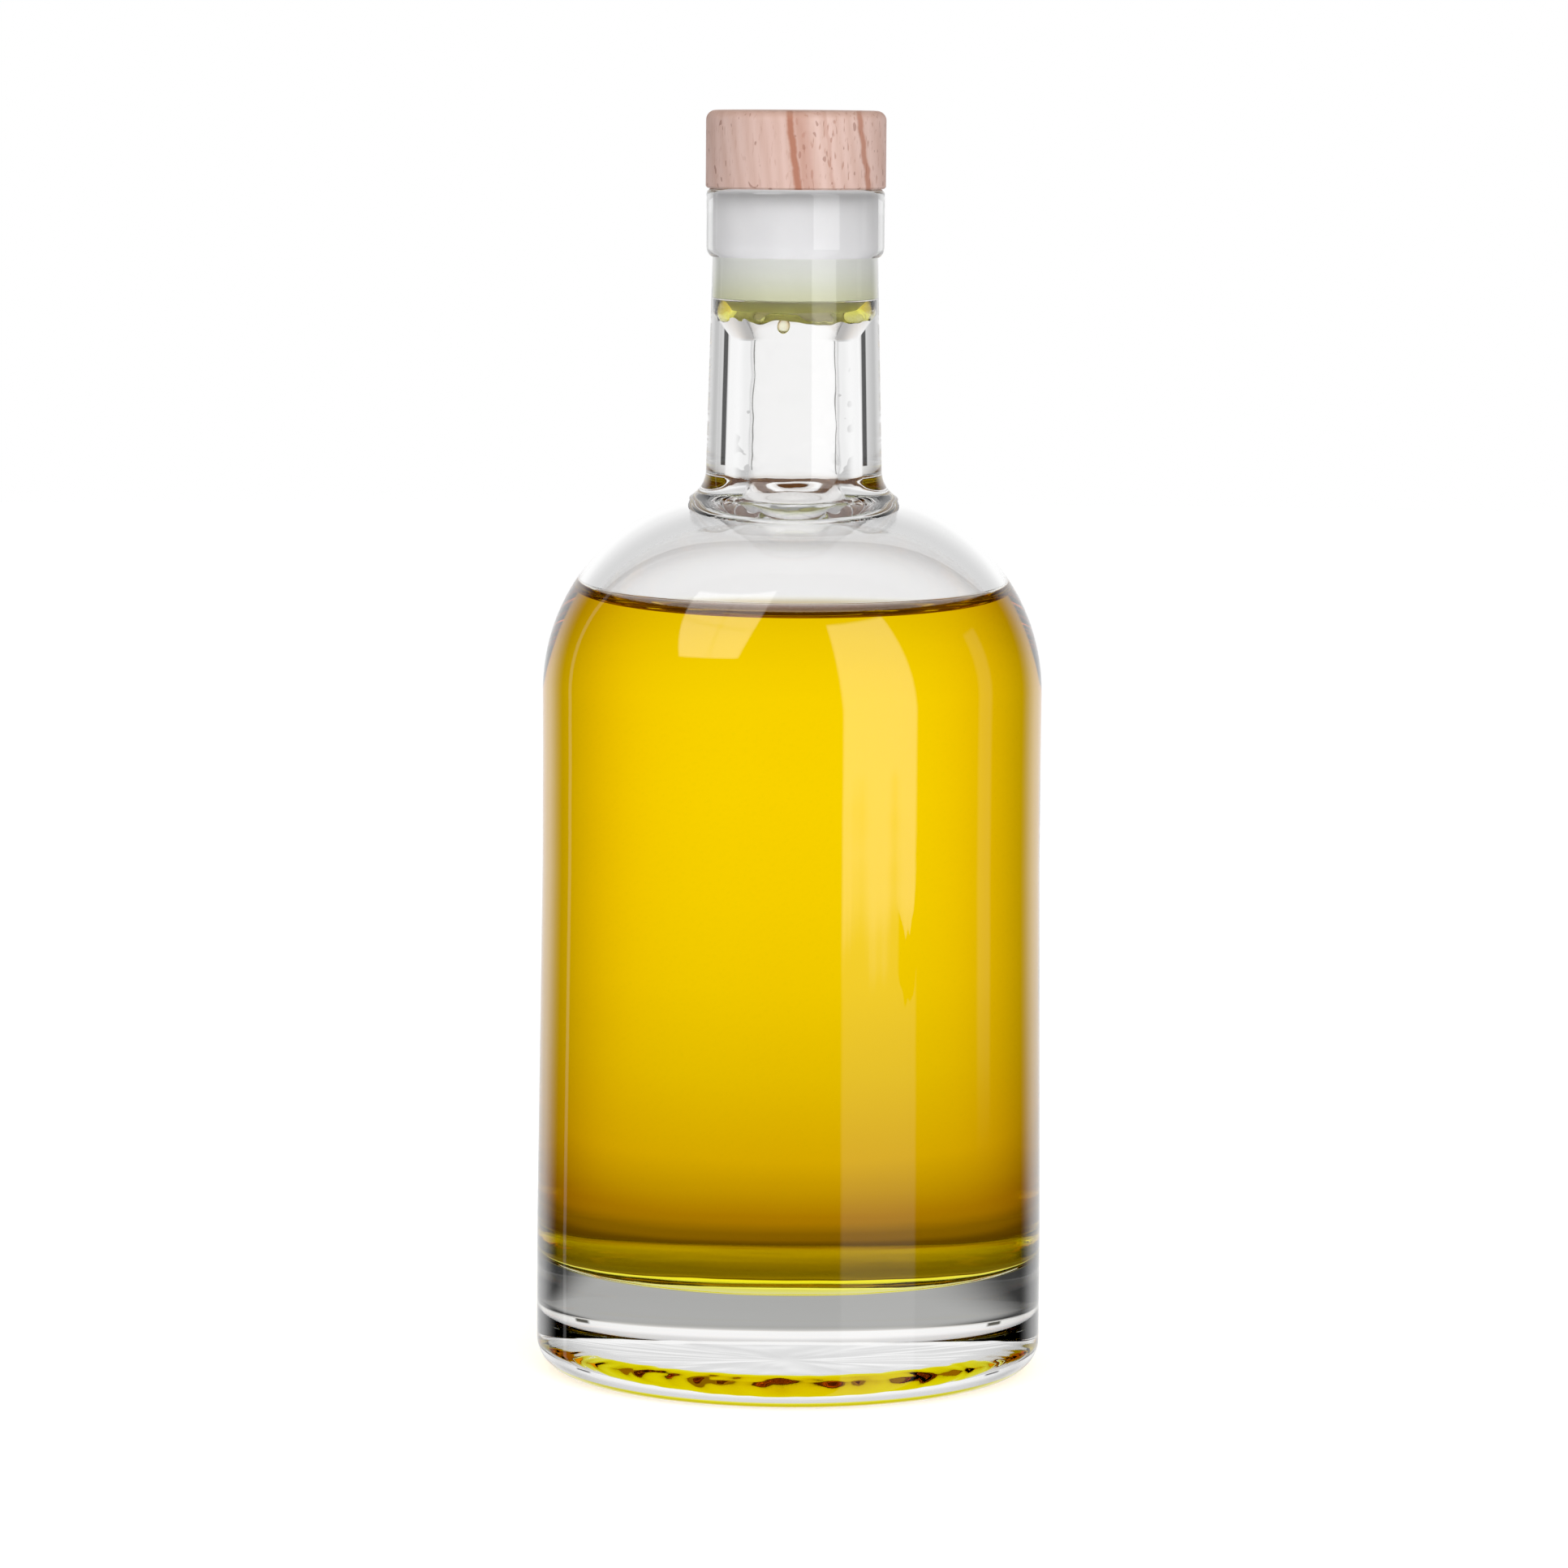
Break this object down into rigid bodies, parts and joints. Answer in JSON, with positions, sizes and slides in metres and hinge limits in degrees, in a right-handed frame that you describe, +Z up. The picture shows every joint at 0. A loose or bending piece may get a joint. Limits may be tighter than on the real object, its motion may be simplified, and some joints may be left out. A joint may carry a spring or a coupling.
{
  "type": "glass oil bottle",
  "caption": "Clear round glass bottle of golden oil with a thick base, a domed shoulder, a slim banded neck and a stopper topped by a wooden disc.",
  "frame": {"origin": "centre of the circle that the bottle stands on", "axes": "+Z up along the bottle's axis, from its base to its wooden head; the bottle is round, so +X and +Y are free"},
  "size_m": [0.0844, 0.0844, 0.21],
  "materials": {
    "clear_glass": "clear, smooth and glossy moulded glass",
    "golden_oil": "clear golden yellow oil",
    "pale_plastic": "smooth, slightly see-through moulded plastic",
    "beech": "turned beech, fine straight grain, bare and satin"
  },
  "bodies": {
    "root": {"glass_bottle": "clear_glass", "oil": "golden_oil", "stopper_plug": "pale_plastic", "wooden_head": "beech"}
  },
  "joints": []
}
